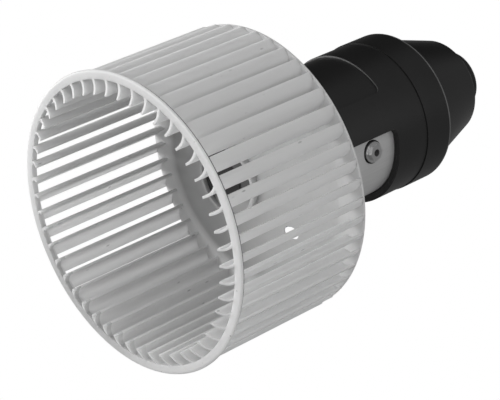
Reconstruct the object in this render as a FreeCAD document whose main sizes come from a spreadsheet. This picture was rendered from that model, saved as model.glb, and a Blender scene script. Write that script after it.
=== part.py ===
import FreeCAD, Part
import math
import os
import Sketcher
from FreeCAD import Placement, Rotation, Vector

# Car cabin blower motor: a squirrel-cage fan wheel on the shaft of a motor in a plastic sleeve.
# The motor axis lies along Y: the open end of the wheel faces -Y, the end cap faces +Y, Z is up.
# The origin is on the motor axis, at the middle of the seating band at the rear of the sleeve.

SIZES = {
    # sleeve
    "seat_radius": 39.4,
    "seat_length": 17.8,
    "seat_step": 0.5,
    "skirt_room": 7.0,
    "sleeve_wall": 3.4,
    "slot_rear": 38.4,
    "slot_corner": 3.5,
    "slot_start": -86.0,
    "slot_end": 20.5,
    "far_slot_start": 170.0,
    "far_slot_end": 245.0,
    "recess_start": 50.0,
    "recess_end": 140.0,
    "recess_depth": 0.9,
    "recess_margin": 8.0,
    "recess_corner": 3.5,
    "lip_depth": 3.5,
    "lip_width": 4.0,
    "sleeve_edge": 0.8,
    # fan wheel
    "wheel_gap": 9.3,
    "wheel_length": 82.7,
    "ring_radius": 75.0,
    "ring_lap": 2.2,
    "ring_depth": 3.0,
    "ring_taper": 1.4,
    "ring_lip": 0.7,
    "blade_count": 49,
    "blade_wall": 1.2,
    "blade_curve": 6.8,
    "blade_inset": 6.8,
    "blade_phase": 31.9,
    "blade_tail": -110.5,
    "blade_head": -9.5,
    "blade_reach": 3.2,
    "slant_inset": 9.6,
    "plate_radius": 72.8,
    "plate_wall": 1.0,
    "rim_fall": 1.6,
    "rim_width": 14.8,
    "cone_rise": 14.0,
    "hub_radius": 18.5,
    "hub_wall": 1.6,
    "hub_reach": 20.2,
    "vent_radius": 3.8,
    "vent_place": 38.7,
    "vent_angle": -30.0,
    # shaft and hub
    "shaft_radius": 3.0,
    "shaft_core_radius": 4.0,
    "shaft_front": 1.8,
    "shaft_chamfer": 0.4,
    "bush_recess": 2.0,
    "bush_flange": 1.5,
    "clip_wall": 0.6,
    "clip_radius": 8.0,
    "fit_gap": 0.05,
    "seat_gap": 0.1,
    "run_gap": 0.3,
    # can and front plate
    "can_gap": 0.5,
    "can_wall": 1.5,
    "can_flange": 4.5,
    "front_skirt": 5.0,
    "front_wall": 1.5,
    "boss_reach": 8.0,
    "bearing_radius": 9.4,
    "bearing_length": 7.2,
    "boss_wall": 1.4,
    "boss_mouth": 5.0,
    "retainer_bore": 7.3,
    "retainer_radius": 14.0,
    "retainer_wall": 0.6,
    "washer_radius": 6.6,
    "washer_wall": 1.4,
    # magnets and armature
    "magnet_wall": 6.0,
    "magnet_span": 116.0,
    "magnet_length": 60.0,
    "magnet_inset": 8.0,
    "air_gap": 0.8,
    "core_length": 50.0,
    "core_inset": 14.0,
    "core_tail": 15.5,
    "core_slots": 12,
    "slot_floor": 13.0,
    "tooth_tip": 2.0,
    "slot_width": 5.0,
    "slot_mouth": 2.0,
    "turns_length": 8.5,
    "turns_inner": 9.0,
    # commutator and brushes
    "comm_radius": 9.5,
    "comm_length": 15.0,
    "comm_start": 2.5,
    "comm_cut": 0.6,
    "comm_cut_depth": 1.0,
    "brush_wide": 6.0,
    "brush_broad": 8.0,
    "box_wall": 0.5,
    "box_gap": 0.1,
    "box_start": 11.6,
    "box_inset": 3.5,
    "spring_space": 6.2,
    "spring_wire": 0.35,
    "spring_coil": 2.2,
    "spring_turns": 4,
    "carrier_wall": 3.0,
    "carrier_hole": 12.6,
    # rear bracket and cap
    "bracket_wall": 1.2,
    "bracket_inset": 2.5,
    "bracket_taper": 8.4,
    "cap_step": 3.4,
    "cap_taper": 11.0,
    "cap_length": 35.7,
    "cap_wall": 2.0,
    "cap_skirt_gap": 0.2,
    "nipple_radius": 16.0,
    "nipple_length": 12.0,
    "nipple_round": 1.6,
    "cap_round": 1.2,
    # side terminals
    "terminal_angle": 8.6,
    "terminal_place": 15.3,
    "insulator_radius": 5.9,
    "insulator_wall": 3.4,
    "terminal_washer_radius": 5.3,
    "terminal_washer_wall": 0.8,
    "stud_radius": 1.75,
    "stud_reach": 0.9,
    "stud_head": 3.6,
    "nut_flats": 7.0,
    "nut_wall": 2.0,
}

doc = FreeCAD.newDocument("cabin_blower")
sheet = doc.addObject("Spreadsheet::Sheet", "Sizes")
for row, (alias, number) in enumerate(SIZES.items(), start=1):
    sheet.set("A%d" % row, alias)
    sheet.set("B%d" % row, str(number))
    sheet.setAlias("B%d" % row, alias)
doc.recompute()


class Size:
    """A length or angle: its number now, and the expression that keeps it tied to the sheet."""

    def __init__(self, value, text):
        self.value = float(value)
        self.text = text

    def join(self, other, sign, number):
        other = as_size(other)
        return Size(number(self.value, other.value), "(%s %s %s)" % (self.text, sign, other.text))

    def __add__(self, other):
        return self.join(other, "+", lambda a, b: a + b)

    def __sub__(self, other):
        return self.join(other, "-", lambda a, b: a - b)

    def __mul__(self, other):
        return self.join(other, "*", lambda a, b: a * b)

    def __truediv__(self, other):
        return self.join(other, "/", lambda a, b: a / b)

    def __radd__(self, other):
        return as_size(other) + self

    def __rsub__(self, other):
        return as_size(other) - self

    def __rmul__(self, other):
        return as_size(other) * self

    def __neg__(self):
        return Size(-self.value, "(0 - %s)" % self.text)


def as_size(thing):
    return thing if isinstance(thing, Size) else Size(thing, repr(float(thing)))


def cos_of(angle):
    return Size(math.cos(math.radians(angle.value)), "cos(%s)" % angle.text)


def sin_of(angle):
    return Size(math.sin(math.radians(angle.value)), "sin(%s)" % angle.text)


S = {alias: Size(number, "Sizes.%s" % alias) for alias, number in SIZES.items()}


def tie(thing, prop, size):
    thing.setExpression(prop, as_size(size).text)


def new_body(name):
    body = doc.addObject("PartDesign::Body", name)
    body.Label = name
    return body


def add_sketch(body, name, role, offset=0.0):
    """A sketch on one of the body's own origin planes, moved along the plane's normal."""
    sketch = body.newObject("Sketcher::SketchObject", body.Name + "_" + name)
    plane = [item for item in body.Origin.OriginFeatures if item.Role == role][0]
    sketch.AttachmentSupport = [(plane, "")]
    sketch.MapMode = "FlatFace"
    offset = as_size(offset)
    sketch.AttachmentOffset = Placement(Vector(0, 0, offset.value), Rotation())
    tie(sketch, "AttachmentOffset.Base.z", offset)
    return sketch


def hold(sketch, kind, *parts):
    """One constraint. The last part may be a size, which stays tied to the sheet."""
    if isinstance(parts[-1], Size):
        index = sketch.addConstraint(Sketcher.Constraint(kind, *parts[:-1], parts[-1].value))
        sketch.setExpression("Constraints[%d]" % index, parts[-1].text)
        return index
    return sketch.addConstraint(Sketcher.Constraint(kind, *parts))


def hold_point(sketch, line, end, across, up):
    for kind, size in (("DistanceX", across), ("DistanceY", up)):
        if size.value == 0.0 and size.text == "0.0":
            axis = -2 if kind == "DistanceX" else -1
            hold(sketch, "PointOnObject", line, end, axis)
        else:
            hold(sketch, kind, -1, 1, line, end, size)


def draw_outline(sketch, points):
    """A closed outline of straight lines, each corner tied to its two sizes."""
    points = [(as_size(across), as_size(up)) for across, up in points]
    spots = [Vector(across.value, up.value, 0) for across, up in points]
    lines = []
    for spot, after in zip(spots, spots[1:] + spots[:1]):
        lines.append(sketch.addGeometry(Part.LineSegment(spot, after), False))
    for line, after in zip(lines, lines[1:] + lines[:1]):
        hold(sketch, "Coincident", line, 2, after, 1)
    for line, (across, up) in zip(lines, points):
        hold_point(sketch, line, 1, across, up)
    return lines


def draw_circle(sketch, radius, across=0.0, up=0.0):
    radius, across, up = as_size(radius), as_size(across), as_size(up)
    centre = Vector(across.value, up.value, 0)
    round_line = sketch.addGeometry(Part.Circle(centre, Vector(0, 0, 1), radius.value), False)
    hold_point(sketch, round_line, 3, across, up)
    hold(sketch, "Radius", round_line, radius)
    return round_line


def draw_sector(sketch, inner, outer, start, end, centre=(0.0, 0.0)):
    """A piece of a ring about a centre, between two radii and two angles."""
    inner, outer, start, end = as_size(inner), as_size(outer), as_size(start), as_size(end)
    across, up = as_size(centre[0]), as_size(centre[1])
    middle = Vector(across.value, up.value, 0)
    a, b = math.radians(start.value), math.radians(end.value)

    def spot(radius, angle):
        return middle + Vector(radius * math.cos(angle), radius * math.sin(angle), 0)

    arcs = []
    for radius in (inner, outer):
        ring = Part.Circle(middle, Vector(0, 0, 1), radius.value)
        arcs.append(sketch.addGeometry(Part.ArcOfCircle(ring, a, b), False))
    sides = []
    for angle in (a, b):
        side = Part.LineSegment(spot(inner.value, angle), spot(outer.value, angle))
        sides.append(sketch.addGeometry(side, False))
    hold_point(sketch, arcs[0], 3, across, up)
    hold(sketch, "Coincident", arcs[1], 3, arcs[0], 3)
    for which, side in enumerate(sides, start=1):
        hold(sketch, "Coincident", arcs[0], which, side, 1)
        hold(sketch, "Coincident", arcs[1], which, side, 2)
    hold(sketch, "Radius", arcs[0], inner)
    hold(sketch, "Radius", arcs[1], outer)
    for side, angle in zip(sides, (start, end)):
        hold(sketch, "PointOnObject", arcs[0], 3, side)
        hold(sketch, "Angle", side, angle)


def revolve(body, name, points, cut=False):
    """Turn an outline of (place along the axis, radius) points about the motor axis."""
    sketch = add_sketch(body, name + "_outline", "YZ_Plane")
    draw_outline(sketch, points)
    kind = "PartDesign::Groove" if cut else "PartDesign::Revolution"
    feature = body.newObject(kind, body.Name + "_" + name)
    feature.Profile = sketch
    feature.ReferenceAxis = (sketch, ["H_Axis"])
    feature.Angle = 360
    sketch.Visibility = False
    return feature


def pad(body, name, sketch, length, reverse=False, middle=False):
    feature = body.newObject("PartDesign::Pad", body.Name + "_" + name)
    feature.Profile = sketch
    feature.Length = as_size(length).value
    tie(feature, "Length", length)
    feature.Reversed = reverse
    feature.Midplane = middle
    return feature


def pocket(body, name, sketch, length, reverse=False, middle=False):
    feature = body.newObject("PartDesign::Pocket", body.Name + "_" + name)
    feature.Profile = sketch
    feature.Length = as_size(length).value
    tie(feature, "Length", length)
    feature.Reversed = reverse
    feature.Midplane = middle
    return feature


def repeat_round(body, name, features, count):
    pattern = body.newObject("PartDesign::PolarPattern", body.Name + "_" + name)
    pattern.Originals = features
    axis = [item for item in body.Origin.OriginFeatures if item.Role == "Y_Axis"][0]
    pattern.Axis = (axis, [""])
    pattern.Angle = 360
    pattern.Occurrences = int(count.value)
    tie(pattern, "Occurrences", count)
    body.Tip = pattern
    return pattern


def ring_edges(feature, radius, place):
    """Names of the round edges of a given radius that lie at a place along the motor axis."""
    names = []
    for number, edge in enumerate(feature.Shape.Edges, start=1):
        curve = edge.Curve
        if not isinstance(curve, Part.Circle):
            continue
        if abs(curve.Radius - radius.value) > 0.01 or abs(curve.Center.y - place.value) > 0.01:
            continue
        if math.hypot(curve.Center.x, curve.Center.z) < 0.01:
            names.append("Edge%d" % number)
    return names


def round_off(body, name, feature, names, radius, kind="Fillet"):
    rounding = body.newObject("PartDesign::" + kind, body.Name + "_" + name)
    rounding.Base = (feature, names)
    prop = "Radius" if kind == "Fillet" else "Size"
    setattr(rounding, prop, radius.value)
    tie(rounding, prop, radius)
    body.Tip = rounding
    return rounding


def turned(name, points):
    """A piece that is round about the motor axis."""
    body = new_body(name)
    revolve(body, "turned", points)
    return body


def along(front, rear, inner, outer):
    """The outline of a plain tube or disc."""
    return [(front, inner), (rear, inner), (rear, outer), (front, outer)]


# Places along the axis, all counted from the middle of the seating band.
sleeve_rear = S["seat_length"] / 2
band_front = -(S["seat_length"] / 2)
can_rear = sleeve_rear - S["skirt_room"]
can_front = can_rear - S["core_tail"] - S["core_length"] - S["core_inset"]
sleeve_front = can_front - S["run_gap"] - S["lip_depth"]
slot_rear = sleeve_rear - S["slot_rear"]
wheel_rear = sleeve_front - S["wheel_gap"]
wheel_front = wheel_rear - S["wheel_length"]
cap_shoulder = sleeve_rear + S["cap_length"]
cap_end = cap_shoulder + S["nipple_length"]

# Radii, each counted inwards from the seating band.
sleeve_radius = S["seat_radius"] - S["seat_step"]
sleeve_bore = sleeve_radius - S["sleeve_wall"]
lip_bore = sleeve_bore - S["lip_width"]
can_radius = sleeve_bore - S["can_gap"]
can_bore = can_radius - S["can_wall"]
core_radius = can_bore - S["seat_gap"] - S["magnet_wall"] - S["air_gap"]
slot_top = core_radius - S["tooth_tip"]
bracket_front = can_bore - S["bracket_inset"]
bracket_rear = bracket_front - S["bracket_taper"]
cap_front = S["seat_radius"] - S["cap_step"]
cap_rear = cap_front - S["cap_taper"]

# Fan wheel: one moulding of front ring, blades, dished back plate and hub.
plate_rear = wheel_rear - S["rim_fall"]
plate_face = plate_rear - S["plate_wall"]
hub_front = wheel_rear - S["hub_reach"]
hub_bore = S["hub_radius"] - S["hub_wall"]
cone_front = plate_face - S["cone_rise"]
cone_radius = S["plate_radius"] - S["rim_width"]
ring_bore = S["plate_radius"] - S["ring_lap"]
blade_centre = S["plate_radius"] - S["blade_inset"]
slant_radius = S["plate_radius"] - S["slant_inset"]
wheel = new_body("fan_wheel")
disc = revolve(wheel, "plate", [
    (hub_front, hub_bore),
    (wheel_rear, hub_bore),
    (wheel_rear, S["hub_radius"]),
    (cone_front + S["plate_wall"], S["hub_radius"]),
    (plate_rear, cone_radius),
    (wheel_rear, S["plate_radius"]),
    (wheel_rear - S["plate_wall"], S["plate_radius"]),
    (plate_face, cone_radius),
    (cone_front, S["hub_radius"]),
    (hub_front, S["hub_radius"]),
])


blade_rear = wheel_rear - S["plate_wall"] - S["seat_gap"]
blade_outline = add_sketch(wheel, "blade_outline", "XZ_Plane", -blade_rear)
phase = S["blade_phase"]
draw_sector(blade_outline, S["blade_curve"] - S["blade_wall"] / 2,
            S["blade_curve"] + S["blade_wall"] / 2, phase + S["blade_tail"],
            phase + S["blade_head"],
            (blade_centre * cos_of(phase), blade_centre * sin_of(phase)))
blade = pad(wheel, "blade", blade_outline, blade_rear - wheel_front + S["blade_reach"])
doc.recompute()
blades = repeat_round(wheel, "blades", [blade], S["blade_count"])

# The front edge of each blade slants back from a pointed tip to the ring.
tip_front = wheel_front - S["blade_reach"]
revolve(wheel, "slant", [
    (tip_front, slant_radius),
    (wheel_front, ring_bore),
    (wheel_front, S["ring_radius"]),
    (tip_front - 1.0, S["ring_radius"]),
    (tip_front - 1.0, slant_radius),
], cut=True)
ring_rear = wheel_front + S["ring_depth"]
revolve(wheel, "ring", [
    (wheel_front, ring_bore),
    (ring_rear, ring_bore),
    (ring_rear, S["ring_radius"] - S["ring_taper"]),
    (wheel_front + S["ring_lip"] * 1.3, S["ring_radius"]),
    (wheel_front + S["ring_lip"] * 0.4, S["ring_radius"] - S["ring_lip"] * 0.4),
    (wheel_front, S["ring_radius"] - S["ring_lip"] * 1.5),
])
doc.recompute()
vent_outline = add_sketch(wheel, "vent_outline", "XZ_Plane", -cone_front)
vent_across = S["vent_place"] * cos_of(S["vent_angle"])
vent_up = S["vent_place"] * sin_of(S["vent_angle"])
draw_circle(vent_outline, S["vent_radius"], vent_across, vent_up)
pocket(wheel, "vent", vent_outline, S["cone_rise"] + S["plate_wall"] * 2)
doc.recompute()

# Hub bush, clip and shaft.
bush_front = hub_front + S["bush_recess"]
bush_rear = wheel_rear + S["seat_gap"] + S["bush_flange"]
shaft_bore = S["shaft_radius"] + S["fit_gap"]
core_bore = S["shaft_core_radius"] + S["fit_gap"]
turned("hub_bush", [
    (bush_front, shaft_bore),
    (bush_rear, shaft_bore),
    (bush_rear, hub_bore + S["hub_wall"] / 2),
    (bush_rear - S["bush_flange"], hub_bore + S["hub_wall"] / 2),
    (bush_rear - S["bush_flange"], hub_bore - S["seat_gap"]),
    (bush_front, hub_bore - S["seat_gap"]),
])
clip_rear = bush_front - S["seat_gap"]
turned("shaft_clip", along(clip_rear - S["clip_wall"], clip_rear, shaft_bore, S["clip_radius"]))

# Front plate with the front bearing. The bearing is a ball-sided sintered bush.
boss_front = can_front - S["boss_reach"]
boss_bore = S["bearing_radius"] + S["seat_gap"]
boss_radius = boss_bore + S["boss_wall"]
plate_inner = can_front + S["front_wall"]
skirt_radius = can_bore - S["seat_gap"]
turned("front_plate", [
    (boss_front, S["boss_mouth"]),
    (boss_front + S["front_wall"], S["boss_mouth"]),
    (boss_front + S["front_wall"], boss_bore),
    (plate_inner, boss_bore),
    (plate_inner, skirt_radius - S["front_wall"]),
    (can_front + S["front_skirt"], skirt_radius - S["front_wall"]),
    (can_front + S["front_skirt"], skirt_radius),
    (can_front, skirt_radius),
    (can_front, boss_radius),
    (boss_front, boss_radius),
])


def bearing(name, front):
    """A sintered bush whose outside bulges, so that it can line itself up in its seat."""
    bore = S["shaft_radius"] + S["fit_gap"]
    rear = front + S["bearing_length"]
    low = S["bearing_radius"] * 0.72
    quarter = S["bearing_length"] / 4
    turned(name, [
        (front, bore),
        (rear, bore),
        (rear, low),
        (rear - quarter / 2, S["bearing_radius"] * 0.9),
        (rear - quarter, S["bearing_radius"]),
        (front + quarter, S["bearing_radius"]),
        (front + quarter / 2, S["bearing_radius"] * 0.9),
        (front, low),
    ])
    return rear


front_bearing_rear = bearing("front_bearing", boss_front + S["front_wall"] + S["seat_gap"])
turned("front_retainer", along(plate_inner + S["seat_gap"],
                               plate_inner + S["seat_gap"] + S["retainer_wall"],
                               S["retainer_bore"], S["retainer_radius"]))
front_washer_front = front_bearing_rear + S["run_gap"]
front_washer_rear = front_washer_front + S["washer_wall"]
turned("front_washer", along(front_washer_front, front_washer_rear, shaft_bore, S["washer_radius"]))

# Rear bracket with the rear bearing, behind the brush carrier.
carrier_front = can_rear + S["run_gap"]
carrier_rear = carrier_front + S["carrier_wall"]
rear_disc = cap_shoulder - S["cap_wall"] - S["run_gap"] - S["bracket_wall"]
rear_boss_end = cap_end - S["cap_wall"] - S["run_gap"]
turned("rear_bracket", [
    (carrier_rear, bracket_front - S["bracket_wall"]),
    (carrier_rear, bracket_front),
    (rear_disc + S["bracket_wall"], bracket_rear),
    (rear_disc + S["bracket_wall"], boss_radius),
    (rear_boss_end, boss_radius),
    (rear_boss_end, S["boss_mouth"]),
    (rear_boss_end - S["front_wall"], S["boss_mouth"]),
    (rear_boss_end - S["front_wall"], boss_bore),
    (rear_disc, boss_bore),
    (rear_disc, bracket_rear - S["bracket_wall"]),
])
rear_bearing_front = rear_boss_end - S["front_wall"] - S["seat_gap"] - S["bearing_length"]
bearing("rear_bearing", rear_bearing_front)
turned("rear_retainer", along(rear_disc - S["seat_gap"] - S["retainer_wall"],
                              rear_disc - S["seat_gap"], S["retainer_bore"], S["retainer_radius"]))
rear_washer_rear = rear_bearing_front - S["run_gap"]
rear_washer_front = rear_washer_rear - S["washer_wall"]
turned("rear_washer", along(rear_washer_front, rear_washer_rear, shaft_bore, S["washer_radius"]))

# Stepped shaft: thin in the hub and the bearings, thick under the armature.
shaft_front = hub_front - S["shaft_front"]
shaft_rear = rear_bearing_front + S["bearing_length"]
shaft = new_body("shaft")
shaft_turn = revolve(shaft, "turned", [
    (shaft_front, 0.0),
    (shaft_front, S["shaft_radius"]),
    (front_washer_rear, S["shaft_radius"]),
    (front_washer_rear, S["shaft_core_radius"]),
    (rear_washer_front, S["shaft_core_radius"]),
    (rear_washer_front, S["shaft_radius"]),
    (shaft_rear, S["shaft_radius"]),
    (shaft_rear, 0.0),
])
doc.recompute()
shaft_ends = ring_edges(shaft_turn, S["shaft_radius"], shaft_front)
shaft_ends += ring_edges(shaft_turn, S["shaft_radius"], shaft_rear)
round_off(shaft, "ends", shaft_turn, shaft_ends, S["shaft_chamfer"], "Chamfer")

# Armature: slotted core, its windings and the commutator.
core_front = can_front + S["core_inset"]
core_rear = core_front + S["core_length"]
core = new_body("armature_core")
core_outline = add_sketch(core, "outline", "XZ_Plane", -core_rear)
draw_circle(core_outline, core_radius)
draw_circle(core_outline, core_bore)
pad(core, "stack", core_outline, S["core_length"])
doc.recompute()
slot_outline = add_sketch(core, "slot_outline", "XZ_Plane", -core_rear)
half, mouth = S["slot_width"] / 2, S["slot_mouth"] / 2
draw_outline(slot_outline, [
    (S["slot_floor"], -half),
    (slot_top, -half),
    (slot_top, -mouth),
    (core_radius + 1.0, -mouth),
    (core_radius + 1.0, mouth),
    (slot_top, mouth),
    (slot_top, half),
    (S["slot_floor"], half),
])
slot = pocket(core, "slot", slot_outline, S["core_length"], reverse=True)
doc.recompute()
repeat_round(core, "slots", [slot], S["core_slots"])

windings = new_body("armature_windings")
turns_outer = slot_top - S["seat_gap"]
revolve(windings, "front_turns", along(core_front - S["seat_gap"] - S["turns_length"],
                                       core_front - S["seat_gap"],
                                       S["turns_inner"], turns_outer))
doc.recompute()
bar_outline = add_sketch(windings, "bar_outline", "XZ_Plane", -(core_rear + S["seat_gap"]))
bar_half = half - S["seat_gap"]
draw_outline(bar_outline, [
    (S["slot_floor"] + S["seat_gap"], -bar_half),
    (turns_outer - 0.4, -bar_half),
    (turns_outer - 0.4, bar_half),
    (S["slot_floor"] + S["seat_gap"], bar_half),
])
bar = pad(windings, "bar", bar_outline, S["core_length"] + S["seat_gap"] * 2)
doc.recompute()
repeat_round(windings, "bars", [bar], S["core_slots"])
revolve(windings, "rear_turns", along(core_rear + S["seat_gap"],
                                      core_rear + S["seat_gap"] + S["turns_length"],
                                      S["turns_inner"], turns_outer))

comm_front = can_rear + S["comm_start"]
commutator = new_body("commutator")
revolve(commutator, "barrel", along(comm_front, comm_front + S["comm_length"],
                                    core_bore, S["comm_radius"]))
doc.recompute()
cut_outline = add_sketch(commutator, "cut_outline", "XZ_Plane", -comm_front)
draw_outline(cut_outline, [
    (S["comm_radius"] - S["comm_cut_depth"], -(S["comm_cut"] / 2)),
    (S["comm_radius"] + 1.0, -(S["comm_cut"] / 2)),
    (S["comm_radius"] + 1.0, S["comm_cut"] / 2),
    (S["comm_radius"] - S["comm_cut_depth"], S["comm_cut"] / 2),
])
comm_cut = pocket(commutator, "cut", cut_outline, S["comm_length"])
doc.recompute()
repeat_round(commutator, "cuts", [comm_cut], S["core_slots"])

# Motor can with its two terminal holes, turned to the angle of the terminals.
terminal_y = slot_rear - S["terminal_place"]
can = new_body("motor_can")
revolve(can, "shell", [
    (can_front, can_bore),
    (can_rear - S["can_wall"], can_bore),
    (can_rear - S["can_wall"], can_bore - S["can_flange"]),
    (can_rear, can_bore - S["can_flange"]),
    (can_rear, can_radius),
    (can_front, can_radius),
])
doc.recompute()
hole_outline = add_sketch(can, "hole_outline", "YZ_Plane")
draw_circle(hole_outline, S["insulator_radius"] + S["seat_gap"], terminal_y, 0.0)
pocket(can, "holes", hole_outline, can_radius * 2 + 2.0, middle=True)


def turn_to(body, angle, place=None):
    """Swing a piece about the motor axis, and slide it along the axis where it has a place."""
    angle = as_size(angle)
    place = as_size(0.0 if place is None else place)
    body.Placement = Placement(Vector(0, place.value, 0), Rotation(Vector(0, -1, 0), angle.value))
    tie(body, "Placement.Base.y", place)
    tie(body, "Placement.Rotation.Angle", angle)


turn_to(can, S["terminal_angle"])

# Magnets: two ring pieces, with the terminals in the gaps between them.
magnet_rear = can_front + S["magnet_inset"] + S["magnet_length"]
for name, middle in (("magnet_upper", 90.0), ("magnet_lower", 270.0)):
    magnet = new_body(name)
    magnet_outline = add_sketch(magnet, "outline", "XZ_Plane", -magnet_rear)
    draw_sector(magnet_outline, can_bore - S["seat_gap"] - S["magnet_wall"],
                can_bore - S["seat_gap"], 90.0 - S["magnet_span"] / 2, 90.0 + S["magnet_span"] / 2)
    pad(magnet, "block", magnet_outline, S["magnet_length"])
    turn_to(magnet, S["terminal_angle"] + (middle - 90.0))

# Brush carrier, brush boxes, brushes and springs. The boxes lie up and down, along Z.
carrier = turned("brush_carrier", along(carrier_front, carrier_rear, S["carrier_hole"],
                                        can_bore - S["seat_gap"] * 2 - S["run_gap"]))
box_half_x = S["brush_wide"] / 2 + S["box_gap"] + S["box_wall"]
box_y = S["brush_broad"] + S["box_gap"] * 2 + S["box_wall"] * 2
box_front = carrier_rear + S["fit_gap"]
brush_front = box_front + S["box_wall"] + S["box_gap"]
brush_tip = S["comm_radius"] + S["run_gap"]
box_end = bracket_front - S["box_inset"]
box_inner_end = box_end - S["box_wall"]
brush_end = box_inner_end - S["spring_space"]


def block_at(body, name, half_x, front, rear, low, high, cut=False):
    """A straight block or cut between two places along the axis and two heights."""
    sketch = add_sketch(body, name + "_outline", "XZ_Plane", -rear)
    draw_outline(sketch, [(-half_x, low), (half_x, low), (half_x, high), (-half_x, high)])
    if cut:
        return pocket(body, name, sketch, rear - front, reverse=True)
    return pad(body, name, sketch, rear - front)


for name, swing in (("upper", 0.0), ("lower", 180.0)):
    box = new_body("brush_box_" + name)
    block_at(box, "shell", box_half_x, box_front, box_front + box_y, S["box_start"],
             box_end)
    doc.recompute()
    block_at(box, "hollow", S["brush_wide"] / 2 + S["box_gap"], brush_front - S["box_gap"],
             brush_front + S["brush_broad"] + S["box_gap"], S["box_start"] - 1.0,
             box_inner_end, cut=True)
    turn_to(box, swing)

    brush = new_body("brush_" + name)
    block_at(brush, "block", S["brush_wide"] / 2, brush_front, brush_front + S["brush_broad"],
             brush_tip - 1.0, brush_end)
    doc.recompute()
    face = add_sketch(brush, "face_outline", "XZ_Plane", -(brush_front + S["brush_broad"]))
    draw_circle(face, brush_tip)
    pocket(brush, "face", face, S["brush_broad"], reverse=True)
    turn_to(brush, swing)

    coil = doc.addObject("Part::Helix", "brush_spring_%s_path" % name)
    space = S["spring_space"] - S["spring_wire"] * 2 - S["fit_gap"] * 2
    for prop, size in (("Height", space), ("Pitch", space / S["spring_turns"]),
                       ("Radius", S["spring_coil"])):
        setattr(coil, prop, size.value)
        tie(coil, prop, size)
    wire = doc.addObject("Part::RegularPolygon", "brush_spring_%s_wire" % name)
    wire.Polygon = 6
    wire.Circumradius = S["spring_wire"].value
    tie(wire, "Circumradius", S["spring_wire"])
    wire.Placement = Placement(Vector(S["spring_coil"].value, 0, 0), Rotation(Vector(1, 0, 0), 90))
    tie(wire, "Placement.Base.x", S["spring_coil"])
    spring = doc.addObject("Part::Sweep", "brush_spring_" + name)
    spring.Label = "brush_spring_" + name
    spring.Sections = [wire]
    spring.Spine = (coil, ["Edge1"])
    spring.Solid = True
    spring.Frenet = True
    start = brush_end + S["spring_wire"] + S["fit_gap"]
    lift = start if swing == 0.0 else -start
    middle = brush_front + S["brush_broad"] / 2
    spring.Placement = Placement(Vector(0, middle.value, lift.value),
                                 Rotation(Vector(0, 1, 0), swing))
    tie(spring, "Placement.Base.y", middle)
    tie(spring, "Placement.Base.z", lift)

# Side terminals: insulator, washer, nut and stud, all on a line through the can's wall.
insulator_out = can_radius + S["seat_gap"]
insulator_in = insulator_out - S["insulator_wall"]
washer_in = insulator_out + S["fit_gap"]
washer_out = washer_in + S["terminal_washer_wall"]
nut_in = washer_out + S["fit_gap"]
stud_gap = S["stud_radius"] + S["fit_gap"]


def spindle(name, inner, outer, radius, hole, swing):
    """A disc or tube about the terminal's own axis, between two distances from the motor axis."""
    body = new_body(name)
    sketch = add_sketch(body, "outline", "YZ_Plane", inner)
    draw_circle(sketch, radius)
    if hole is not None:
        draw_circle(sketch, hole)
    pad(body, "disc", sketch, outer - inner)
    turn_to(body, swing, terminal_y)
    return body


for name, swing in (("supply", S["terminal_angle"]), ("earth", S["terminal_angle"] + 180.0)):
    spindle(name + "_insulator", insulator_in, insulator_out, S["insulator_radius"], stud_gap, swing)
    spindle(name + "_washer", washer_in, washer_out, S["terminal_washer_radius"], stud_gap, swing)
    nut = new_body(name + "_nut")
    nut_outline = add_sketch(nut, "outline", "YZ_Plane", nut_in)
    flat = S["nut_flats"] / 2
    tip = S["nut_flats"] / math.sqrt(3.0)
    draw_outline(nut_outline, [
        (tip, 0.0),
        (tip / 2, flat),
        (-(tip / 2), flat),
        (-tip, 0.0),
        (-(tip / 2), -flat),
        (tip / 2, -flat),
    ])
    draw_circle(nut_outline, stud_gap)
    pad(nut, "block", nut_outline, S["nut_wall"])
    turn_to(nut, swing, terminal_y)
    stud = spindle(name + "_stud", insulator_in - 2.0, nut_in + S["stud_reach"], S["stud_radius"],
                   None, swing)
    doc.recompute()
    head = add_sketch(stud, "head_outline", "YZ_Plane", insulator_in - 2.0)
    draw_circle(head, S["stud_head"])
    pad(stud, "head", head, 2.0 - S["fit_gap"])

# Housing sleeve: a tube with a raised seating band, a front lip, two open slots and a recess.
sleeve = new_body("housing_sleeve")
tube = revolve(sleeve, "tube", [
    (sleeve_front, lip_bore),
    (sleeve_front + S["lip_depth"], lip_bore),
    (sleeve_front + S["lip_depth"], sleeve_bore),
    (sleeve_rear, sleeve_bore),
    (sleeve_rear, S["seat_radius"] - S["sleeve_edge"]),
    (sleeve_rear - S["sleeve_edge"], S["seat_radius"]),
    (band_front, S["seat_radius"]),
    (band_front, sleeve_radius),
    (sleeve_front, sleeve_radius),
])
doc.recompute()
slots = []
for name, start, end in (("slot", S["slot_start"], S["slot_end"]),
                         ("far_slot", S["far_slot_start"], S["far_slot_end"])):
    outline = add_sketch(sleeve, name + "_outline", "XZ_Plane", -slot_rear)
    draw_sector(outline, lip_bore - 1.0, S["seat_radius"] + 2.0, start, end)
    slots.append(pocket(sleeve, name, outline, slot_rear - sleeve_front + 1.0, reverse=True))
    doc.recompute()
outline = add_sketch(sleeve, "recess_outline", "XZ_Plane", -slot_rear)
draw_sector(outline, sleeve_radius - S["recess_depth"], S["seat_radius"] + 2.0,
            S["recess_start"], S["recess_end"])
recess = pocket(sleeve, "recess", outline, slot_rear - sleeve_front - S["recess_margin"],
                reverse=True)
doc.recompute()


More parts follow.
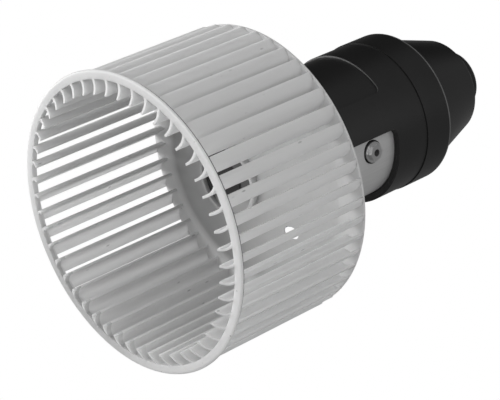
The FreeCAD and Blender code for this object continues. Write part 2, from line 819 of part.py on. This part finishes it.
def slot_corners(feature, place, bounds):
    """Names of the short radial edges at the closed ends of the slots."""
    names = []
    for number, edge in enumerate(feature.Shape.Edges, start=1):
        if len(edge.Vertexes) != 2:
            continue
        one, two = [vertex.Point for vertex in edge.Vertexes]
        if abs(one.y - place) > 0.01 or abs(two.y - place) > 0.01:
            continue
        angles = [math.degrees(math.atan2(spot.z, spot.x)) for spot in (one, two)]
        if abs(angles[0] - angles[1]) > 0.1:
            continue
        if any(abs((angles[0] - bound.value + 180.0) % 360.0 - 180.0) < 0.1 for bound in bounds):
            names.append("Edge%d" % number)
    return names


bounds = [S["slot_start"], S["slot_end"], S["far_slot_start"], S["far_slot_end"]]
names = slot_corners(recess, slot_rear.value, bounds)
rounded = round_off(sleeve, "slot_corners", recess, names, S["slot_corner"])
doc.recompute()
names = slot_corners(rounded, slot_rear.value, [S["recess_start"], S["recess_end"]])
round_off(sleeve, "recess_corners", rounded, names, S["recess_corner"])

# End cap: one moulding of skirt, cone and nipple, hollow inside.
cap_inner_front = cap_front - S["cap_wall"]
cap_inner_rear = cap_rear - S["cap_wall"]
skirt_front = can_rear + S["run_gap"]
skirt_outer = sleeve_bore - S["cap_skirt_gap"]
cap_slope = (cap_front - cap_rear) / S["cap_length"]
turned("end_cap", [
    (skirt_front, skirt_outer),
    (sleeve_rear, skirt_outer),
    (sleeve_rear, cap_front),
    (cap_shoulder - S["cap_round"], cap_rear + S["cap_round"] * cap_slope),
    (cap_shoulder - S["cap_round"] * 0.3, cap_rear - S["cap_round"] * 0.3),
    (cap_shoulder, cap_rear - S["cap_round"]),
    (cap_shoulder, S["nipple_radius"]),
    (cap_end - S["nipple_round"], S["nipple_radius"]),
    (cap_end - S["nipple_round"] * 0.3, S["nipple_radius"] - S["nipple_round"] * 0.3),
    (cap_end, S["nipple_radius"] - S["nipple_round"]),
    (cap_end, 0.0),
    (cap_end - S["cap_wall"], 0.0),
    (cap_end - S["cap_wall"], S["nipple_radius"] - S["cap_wall"]),
    (cap_shoulder - S["cap_wall"], S["nipple_radius"] - S["cap_wall"]),
    (cap_shoulder - S["cap_wall"], cap_inner_rear),
    (sleeve_rear, cap_inner_front),
    (skirt_front, cap_inner_front),
])
doc.recompute()

# Every object must have been built, and every piece must be one sound solid.
pieces = [item for item in doc.Objects
          if item.TypeId == "PartDesign::Body" or item.TypeId == "Part::Sweep"]
for item in doc.Objects:
    if "Invalid" in item.State or "Error" in item.State:
        raise RuntimeError("%s was not built" % item.Name)
for piece in pieces:
    shape = piece.Shape
    if shape.isNull() or not shape.isValid() or len(shape.Solids) != 1:
        raise RuntimeError("%s is not one sound solid" % piece.Label)

os.makedirs("parts", exist_ok=True)
for piece in pieces:
    piece.Shape.exportStep("parts/%s.step" % piece.Label)
    print("%s %.1f mm3" % (piece.Label, piece.Shape.Volume))
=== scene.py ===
import math

import bpy
from mathutils import Matrix, Vector


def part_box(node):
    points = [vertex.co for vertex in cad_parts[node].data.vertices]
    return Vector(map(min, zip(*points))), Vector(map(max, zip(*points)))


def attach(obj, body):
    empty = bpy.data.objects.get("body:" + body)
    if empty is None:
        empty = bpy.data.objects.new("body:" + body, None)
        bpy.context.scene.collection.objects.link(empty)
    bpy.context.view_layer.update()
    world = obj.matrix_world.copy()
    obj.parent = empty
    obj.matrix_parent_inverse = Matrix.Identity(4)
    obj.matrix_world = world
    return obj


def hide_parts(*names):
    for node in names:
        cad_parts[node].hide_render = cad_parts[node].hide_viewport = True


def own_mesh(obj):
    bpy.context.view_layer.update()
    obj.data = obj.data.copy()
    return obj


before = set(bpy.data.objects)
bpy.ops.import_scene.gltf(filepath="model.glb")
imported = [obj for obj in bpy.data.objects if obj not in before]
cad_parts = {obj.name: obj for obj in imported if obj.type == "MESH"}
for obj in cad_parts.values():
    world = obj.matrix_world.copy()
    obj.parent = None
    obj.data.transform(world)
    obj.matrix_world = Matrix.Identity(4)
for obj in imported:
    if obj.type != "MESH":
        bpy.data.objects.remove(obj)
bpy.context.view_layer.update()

# All lengths are in metres. The motor axis is Y, the open end of the wheel faces -Y, Z is up.


class Val:
    """A shader socket that takes part in sums like a number."""

    def __init__(self, nodes, socket):
        self.nodes = nodes
        self.socket = socket

    def math(self, operation, other):
        return self.nodes.node("ShaderNodeMath", {"operation": operation}, {0: self, 1: other})

    def __add__(self, other):
        return self.math("ADD", other)

    def __radd__(self, other):
        return self.math("ADD", other)

    def __sub__(self, other):
        return self.math("SUBTRACT", other)

    def __rsub__(self, other):
        return self.math("MULTIPLY", -1.0) + other

    def __mul__(self, other):
        return self.math("MULTIPLY", other)

    def __rmul__(self, other):
        return self.math("MULTIPLY", other)

    def step(self, start, end, low=0.0, high=1.0):
        """Low below start, high above end, smooth between them."""
        return self.nodes.node("ShaderNodeMapRange", {"interpolation_type": "SMOOTHSTEP"},
                               {"Value": self, "From Min": start, "From Max": end,
                                "To Min": low, "To Max": high})


class Nodes:
    """The nodes of a material or a world, made by one method and joined by their sockets."""

    def __init__(self, owner):
        owner.use_nodes = True
        self.tree = owner.node_tree
        self.tree.nodes.clear()

    def node(self, kind, settings, sockets, output=0):
        """A node of a kind, with its settings first and then its sockets."""
        made = self.tree.nodes.new(kind)
        for key, value in settings.items():
            setattr(made, key, value)
        for key, value in sockets.items():
            socket = made.inputs[key]
            if isinstance(value, Val):
                self.tree.links.new(value.socket, socket)
            else:
                socket.default_value = value
        if output is None:
            return made
        return Val(self, made.outputs[output])


class Look(Nodes):
    """One material, with the places on the object that its tones follow."""

    def __init__(self, name):
        self.material = bpy.data.materials.new(name)
        super().__init__(self.material)
        self.place = self.node("ShaderNodeTexCoord", {}, {}, output="Object")
        split = self.node("ShaderNodeSeparateXYZ", {}, {0: self.place}, output=None)
        self.x, self.y, self.z = (Val(self, split.outputs[n]) for n in range(3))
        self.radius = self.node("ShaderNodeVectorMath", {"operation": "LENGTH"},
                                {0: self.scaled(1.0, 0.0, 1.0)}, output="Value")

    def scaled(self, sx, sy, sz):
        """The place on the object, stretched along each axis."""
        return self.node("ShaderNodeVectorMath", {"operation": "MULTIPLY"},
                         {0: self.place, 1: (sx, sy, sz)})

    def noise(self, scale, detail=3.0, stretch=None):
        """Soft clouds. The scale counts them over one metre."""
        place = self.place if stretch is None else self.scaled(*stretch)
        return self.node("ShaderNodeTexNoise", {},
                         {"Vector": place, "Scale": scale, "Detail": detail})

    def cells(self, scale, stretch=None):
        """The distance to the nearest of many scattered points."""
        place = self.place if stretch is None else self.scaled(*stretch)
        return self.node("ShaderNodeTexVoronoi", {}, {"Vector": place, "Scale": scale},
                         output="Distance")

    def within(self, value, start, end, soft=0.0001):
        """1 where a value lies between two limits, 0 outside them."""
        return value.step(start - soft, start + soft) * (1.0 - value.step(end - soft, end + soft))

    def mix(self, share, low, high):
        """A colour between two greys or colours."""
        return self.node("ShaderNodeMix", {"data_type": "RGBA"},
                         {0: share, 6: colour(low), 7: colour(high)}, output=2)

    def bump(self, height, strength, distance):
        """A surface raised by a height."""
        return self.node("ShaderNodeBump", {},
                         {"Height": height, "Strength": strength, "Distance": distance})

    def finish(self, **sockets):
        """The finished material, from the sockets of its one shader."""
        names = {key.replace("_", " "): value for key, value in sockets.items()}
        shader = self.node("ShaderNodeBsdfPrincipled", {}, names)
        self.node("ShaderNodeOutputMaterial", {}, {"Surface": shader}, output=None)
        return self.material


def colour(value):
    """A colour as it is, or a grey made into one."""
    if isinstance(value, (Val, tuple)):
        return value
    return (value, value, value, 1.0)


def wheel_plastic():
    """Milky moulded plastic: soft and slightly waxy, with faint flow streaks along the blades,
    and painted shade on the plate, on the lower left of the ring and in a line behind the ring.
    """
    ring_front, ring_middle = -0.1740, -0.1712
    # Where the painted shadow line behind the ring lies.
    shadow_line_front, shadow_line_rear = -0.1713, -0.1700
    blade_inside, plate_inside, plate_outside = 0.0605, 0.0540, 0.0640
    scatter = 0.006
    look = Look("milky_wheel_plastic")
    flow = look.noise(60.0, 4.0, stretch=(1.0, 0.12, 1.0))
    cloud = look.noise(22.0, 2.0)
    grain = look.noise(1400.0, 2.0)
    streak = look.noise(420.0, 3.0, stretch=(1.0, 0.05, 1.0))
    share = flow * 0.45 + cloud * 0.25 + streak * 0.3
    # Painted shade on the lower left of the ring, and painted shade that makes the plate duller.
    lower_left_shade = (1.0 - look.z.step(-0.055, 0.0)) * (1.0 - look.x.step(-0.03, 0.03))
    rim = look.within(look.y, ring_front, ring_middle) * lower_left_shade
    tone = look.mix(rim * 0.75, look.mix(share, 0.64, 0.80), 0.42)
    # Painted shade on the plate, weaker towards +X.
    plate = 1.0 - look.radius.step(plate_inside, plate_outside)
    near = look.x.step(-0.02, 0.035)
    tone = look.mix(plate * (1.0 - near * 0.8), tone, look.mix(cloud, 0.25, 0.34))
    # A painted shadow line behind the ring, and a few specks of dirt among the blades.
    ring_shadow_line = look.within(look.y, shadow_line_front, shadow_line_rear) * look.radius.step(0.0722, 0.0730)
    specks = 1.0 - look.cells(260.0, stretch=(1.0, 0.35, 1.0)).step(0.06, 0.16)
    settled = look.noise(48.0, 2.0).step(0.52, 0.66)
    among_blades = look.radius.step(blade_inside, blade_inside + 0.0025)
    tone = look.mix(ring_shadow_line + specks * settled * among_blades * 0.5, tone, 0.06)
    normal = look.bump(grain * 0.3 + flow * 0.7, 0.12, 0.0004)
    return look.finish(Base_Color=tone, Roughness=flow * 0.16 + 0.38, Normal=normal,
                       Subsurface_Weight=0.8, Subsurface_Radius=(scatter, scatter, scatter),
                       Subsurface_Scale=1.0, IOR=1.46, Specular_IOR_Level=0.4)


def black_plastic(name, dark, gloss, grain_size, gleam=0.16, edge_highlights=None, lit_patch=None,
                  hollow=None):
    """Black moulded plastic with a fine grain and duller patches.

    Its rims are painted paler as highlights, a patch of painted light lies pale on it, and a
    hollow is painted evenly dark as shade.
    """
    highlight_tone, lit_patch_tone = 0.26, 0.42
    look = Look(name)
    patch = look.noise(35.0, 3.0)
    grain = look.noise(grain_size, 2.0)
    highlight_breakup = look.noise(90.0, 4.0, stretch=(1.0, 0.4, 1.0))
    tone = look.mix(patch, dark * 0.7, dark * 1.4)
    # Painted shade: a hollow is made evenly dark.
    if hollow is not None:
        tone = look.mix(hollow(look), tone, dark)
    # Painted highlights along the rims, broken up by noise.
    if edge_highlights is not None:
        tone = look.mix(edge_highlights(look) * (highlight_breakup * 0.8 + 0.4), tone, highlight_tone)
    # A pale patch of painted light.
    if lit_patch is not None:
        tone = look.mix(lit_patch(look), tone, lit_patch_tone)
    normal = look.bump(grain, 0.10, 0.0003)
    return look.finish(Base_Color=tone, Roughness=patch * 0.14 + gloss, Normal=normal, IOR=1.5,
                       Specular_IOR_Level=gleam)


def sleeve_edge_highlights(look):
    """Painted highlights on the rear edge of the sleeve and on the closed end of the recess."""
    rear_start, rear_end = 0.0073, 0.0081
    floor_radius, skin_radius = 0.03808, 0.03885
    closed_start, closed_end = -0.0345, -0.0292
    rear = look.within(look.y, rear_start, rear_end) * look.radius.step(0.0390, 0.0393)
    wall = look.within(look.radius, floor_radius, skin_radius, 0.00003)
    closed = look.within(look.y, closed_start, closed_end, 0.0002) * look.z.step(0.024, 0.026)
    return rear * 0.6 + wall * closed * 1.7


def recess_floor_shade(look):
    """The floor of the recess in the sleeve's upper side, painted evenly dark as shade."""
    return (1.0 - look.radius.step(0.03805, 0.03815)) * look.z.step(0.0, 0.001)


def bush_painted_light(look):
    """Painted light on the bush, palest in its lower half, and only towards +X."""
    low = 1.0 - look.z.step(-0.009, -0.002)
    return (low * 0.75 + 0.2) * look.x.step(-0.012, -0.004)


def cap_edge_highlights(look):
    """Painted highlights on the shoulder of the cap and on the rim of its nipple."""
    shoulder_start, shoulder_end = 0.0434, 0.0445
    rim_start, rim_end = 0.0552, 0.0562
    shoulder = look.within(look.y, shoulder_start, shoulder_end)
    shoulder = shoulder * look.radius.step(0.0235, 0.0240)
    rim = look.within(look.y, rim_start, rim_end) * look.radius.step(0.0150, 0.0155)
    return shoulder * 0.25 + rim * 0.3


def plated_steel():
    """Zinc-plated sheet steel, drawn into a can: fine draw lines along the axis."""
    look = Look("plated_can_steel")
    lines = look.noise(900.0, 2.0, stretch=(1.0, 0.03, 1.0))
    cloud = look.noise(45.0, 3.0)
    speck = look.cells(700.0).step(0.0, 0.12)
    share = lines * 0.5 + cloud * 0.5
    tone = look.mix(share, 0.70, 0.92)
    tone = look.mix(speck * 0.5, look.mix(share, 0.30, 0.45), tone)
    normal = look.bump(lines * 0.6 + speck * 0.4, 0.20, 0.0003)
    return look.finish(Base_Color=tone, Metallic=0.25, Roughness=cloud * 0.2 + 0.28,
                       Normal=normal)


def bright_steel(name, tone_low, tone_high, rough):
    """Bare or plated steel with fine lines from its making."""
    look = Look(name)
    lines = look.noise(1500.0, 2.0, stretch=(1.0, 0.2, 1.0))
    cloud = look.noise(120.0, 2.0)
    tone = look.mix(lines * 0.5 + cloud * 0.5, tone_low, tone_high)
    normal = look.bump(lines, 0.08, 0.0002)
    return look.finish(Base_Color=tone, Metallic=0.95, Roughness=cloud * 0.14 + rough,
                       Normal=normal)


def plain_finish(name, low, high, rough, metallic=0.0, size=300.0):
    """A finish for a piece inside the motor: two tones in small patches, with a light grain."""
    look = Look(name)
    patch = look.noise(size, 3.0)
    grain = look.noise(size * 6.0, 2.0)
    tone = look.mix(patch, low, high)
    normal = look.bump(grain, 0.15, 0.0002)
    return look.finish(Base_Color=tone, Metallic=metallic, Roughness=patch * 0.2 + rough,
                       Normal=normal)


def copper_wire():
    """Enamelled copper turns: fine ridges round the slots."""
    look = Look("enamelled_copper")
    wave = look.node("ShaderNodeTexWave", {"wave_type": "RINGS", "rings_direction": "Y"},
                     {"Vector": look.place, "Scale": 420.0, "Distortion": 1.5})
    tone = look.mix(wave, (0.30, 0.11, 0.045, 1.0), (0.52, 0.23, 0.11, 1.0))
    normal = look.bump(wave, 0.5, 0.0003)
    return look.finish(Base_Color=tone, Metallic=0.8, Roughness=wave * 0.1 + 0.3, Normal=normal)


finishes = {
    "fan_wheel": wheel_plastic(),
    # The sleeve and cap carry painted highlights, the sleeve painted shade in its recess, and the
    # bush painted light.
    "housing_sleeve": black_plastic("black_sleeve_plastic", 0.014, 0.30, 1500.0, 0.40,
                                    sleeve_edge_highlights, hollow=recess_floor_shade),
    "end_cap": black_plastic("black_cap_plastic", 0.008, 0.22, 1800.0, 0.50, cap_edge_highlights),
    "hub_bush": black_plastic("black_bush_rubber", 0.030, 0.60, 900.0, lit_patch=bush_painted_light),
    "insulator": black_plastic("black_insulator_plastic", 0.012, 0.40, 1500.0),
    "motor_can": plated_steel(),
    "plated": bright_steel("plated_small_steel", 0.60, 0.78, 0.24),
    "ground": bright_steel("ground_shaft_steel", 0.50, 0.66, 0.18),
    "dark_steel": bright_steel("dark_stud_steel", 0.05, 0.09, 0.45),
    "sheet": bright_steel("pressed_sheet_steel", 0.42, 0.58, 0.34),
    "sintered": plain_finish("sintered_bronze", (0.20, 0.13, 0.07, 1.0),
                             (0.33, 0.22, 0.12, 1.0), 0.45, 0.7, 900.0),
    "laminated": plain_finish("laminated_core_steel", 0.16, 0.28, 0.40, 0.7, 600.0),
    "copper": copper_wire(),
    "bar_copper": plain_finish("commutator_copper", (0.42, 0.19, 0.10, 1.0),
                               (0.60, 0.30, 0.17, 1.0), 0.28, 0.9, 500.0),
    "ferrite": plain_finish("ferrite_magnet", 0.018, 0.04, 0.55),
    "carbon": plain_finish("brush_carbon", 0.015, 0.035, 0.5, 0.0, 900.0),
    "board": plain_finish("brush_board", (0.09, 0.045, 0.02, 1.0),
                          (0.15, 0.08, 0.04, 1.0), 0.5),
    "brass": plain_finish("brass_box", (0.50, 0.36, 0.14, 1.0),
                          (0.66, 0.49, 0.22, 1.0), 0.3, 0.9),
}

finish_of = {
    "fan_wheel": "fan_wheel",
    "hub_bush": "hub_bush",
    "shaft_clip": "dark_steel",
    "shaft": "ground",
    "front_washer": "plated",
    "rear_washer": "plated",
    "armature_core": "laminated",
    "armature_windings": "copper",
    "commutator": "bar_copper",
    "front_plate": "sheet",
    "front_bearing": "sintered",
    "front_retainer": "sheet",
    "rear_bracket": "sheet",
    "rear_bearing": "sintered",
    "rear_retainer": "sheet",
    "motor_can": "motor_can",
    "magnet_upper": "ferrite",
    "magnet_lower": "ferrite",
    "brush_carrier": "board",
    "brush_box_upper": "brass",
    "brush_box_lower": "brass",
    "brush_upper": "carbon",
    "brush_lower": "carbon",
    "brush_spring_upper": "plated",
    "brush_spring_lower": "plated",
    "supply_insulator": "insulator",
    "supply_washer": "plated",
    "supply_nut": "plated",
    "supply_stud": "dark_steel",
    "earth_insulator": "insulator",
    "earth_washer": "plated",
    "earth_nut": "plated",
    "earth_stud": "dark_steel",
    "housing_sleeve": "housing_sleeve",
    "end_cap": "end_cap",
}

for name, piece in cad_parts.items():
    material = finishes[finish_of[name]]
    if not piece.material_slots:
        piece.data.materials.append(material)
    for slot in piece.material_slots:
        slot.material = material


def coil_spring(node):
    """A round-wire brush spring that fills the box of the part it replaces, with closed end
    turns.
    """
    wire, turns, steps, sides = 0.00032, 4, 28, 10
    end_share = 0.06
    low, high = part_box(node)
    ring = (high.x - low.x) / 2 - wire
    across, along = (high.x + low.x) / 2, (high.y + low.y) / 2
    bottom, top = low.z + wire, high.z - wire
    points, faces = [], []
    for step in range(turns * steps + 1):
        angle = 2 * math.pi * step / steps
        share = step / (turns * steps)
        climb = min(max((share - end_share) / (1.0 - 2.0 * end_share), 0.0), 1.0)
        level = bottom + (top - bottom) * climb
        for side in range(sides):
            round_wire = 2 * math.pi * side / sides
            out = ring + wire * math.cos(round_wire)
            points.append((across + out * math.cos(angle), along + out * math.sin(angle),
                           level + wire * math.sin(round_wire)))
    for step in range(turns * steps):
        for side in range(sides):
            a, b = step * sides + side, step * sides + (side + 1) % sides
            faces.append((a, b, b + sides, a + sides))
    faces.append(tuple(reversed(range(sides))))
    faces.append(tuple(range(len(points) - sides, len(points))))
    mesh = bpy.data.meshes.new(node + "_coil")
    mesh.from_pydata(points, [], faces)
    mesh.shade_smooth()
    mesh.materials.append(finishes["plated"])
    coil = bpy.data.objects.new(node + "_coil", mesh)
    bpy.context.scene.collection.objects.link(coil)
    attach(coil, "stator")
    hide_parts(node)
    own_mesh(coil)


coil_spring("brush_spring_upper")
coil_spring("brush_spring_lower")

# The camera of the photograph, as it was fitted to it.
azimuth = math.radians(45.6149)
elevation = math.radians(27.7891)
distance, moved_right, moved_down = 1.073135, 0.0133042, 0.0080986
to_camera = Vector((math.sin(azimuth) * math.cos(elevation),
                    -math.cos(azimuth) * math.cos(elevation), math.sin(elevation)))
right = Vector((math.cos(azimuth), math.sin(azimuth), 0.0))
up = right.cross(-to_camera)
middle = Vector((0.0, -0.1134, 0.0))
spot = middle + to_camera * distance + right * moved_right - up * moved_down
camera = bpy.data.objects.new("camera", bpy.data.cameras.new("camera"))
bpy.context.scene.collection.objects.link(camera)
turn = Matrix((right, up, to_camera)).transposed().to_4x4()
camera.matrix_world = Matrix.Translation(spot) @ turn
camera.data.lens = 160.59
camera.data.sensor_width = 36.0
camera.data.clip_start = 0.05
bpy.context.scene.camera = camera


def lamp(name, across, along_view, high, width, height, power):
    """A soft box, placed by its distances to the right of, towards and above the object."""
    data = bpy.data.lights.new(name, "AREA")
    data.shape = "RECTANGLE"
    data.size, data.size_y = width, height
    data.energy = power
    made = bpy.data.objects.new(name, data)
    bpy.context.scene.collection.objects.link(made)
    flat = Vector((to_camera.x, to_camera.y, 0.0)).normalized()
    made.location = middle + right * across + flat * along_view + Vector((0.0, 0.0, high))
    made.rotation_euler = (made.location - middle).to_track_quat("Z", "Y").to_euler()


lamp("overhead_box", 0.25, -0.10, 1.10, 1.2, 1.0, 1.0)
lamp("right_box", 1.00, 0.30, 0.55, 0.4, 0.9, 1.2)
lamp("mouth_box", -1.00, 0.35, 0.35, 0.6, 0.6, 6.0)
lamp("camera_box", 0.45, 0.95, 0.60, 0.7, 0.5, 2.2)
lamp("back_left_box", -1.00, -0.55, 0.10, 0.9, 0.9, 7.5)

# White where the camera looks past the object, and a dimmer even light on it from all round.
# Gloss shows a dimmer light still, with a dark screen behind the object.
white = (1.0, 1.0, 1.0, 1.0)
even_light, gloss_light, screen_light = 0.32, 0.20, 0.015
screen_starts, screen_ends = 0.70, 0.93
world = bpy.data.worlds.new("studio")
bpy.context.scene.world = world
studio = Nodes(world)
ray = studio.node("ShaderNodeLightPath", {}, {}, output=None)
direction = studio.node("ShaderNodeTexCoord", {}, {}, output="Generated")
facing = studio.node("ShaderNodeVectorMath", {"operation": "DOT_PRODUCT"},
                     {0: direction, 1: (-to_camera.x, -to_camera.y, to_camera.z)},
                     output="Value")
mirrored = facing.step(screen_starts, screen_ends, gloss_light, screen_light)
behind = studio.node("ShaderNodeBackground", {}, {"Color": white, "Strength": 1.0})
around = studio.node("ShaderNodeBackground", {}, {"Color": white, "Strength": even_light})
gloss = studio.node("ShaderNodeBackground", {}, {"Color": white, "Strength": mirrored})
on_object = studio.node("ShaderNodeMixShader", {},
                        {0: Val(studio, ray.outputs["Is Glossy Ray"]), 1: around, 2: gloss})
seen = studio.node("ShaderNodeMixShader", {},
                   {0: Val(studio, ray.outputs["Is Camera Ray"]), 1: on_object, 2: behind})
studio.node("ShaderNodeOutputWorld", {}, {"Surface": seen}, output=None)
bpy.context.scene.view_settings.view_transform = "Standard"
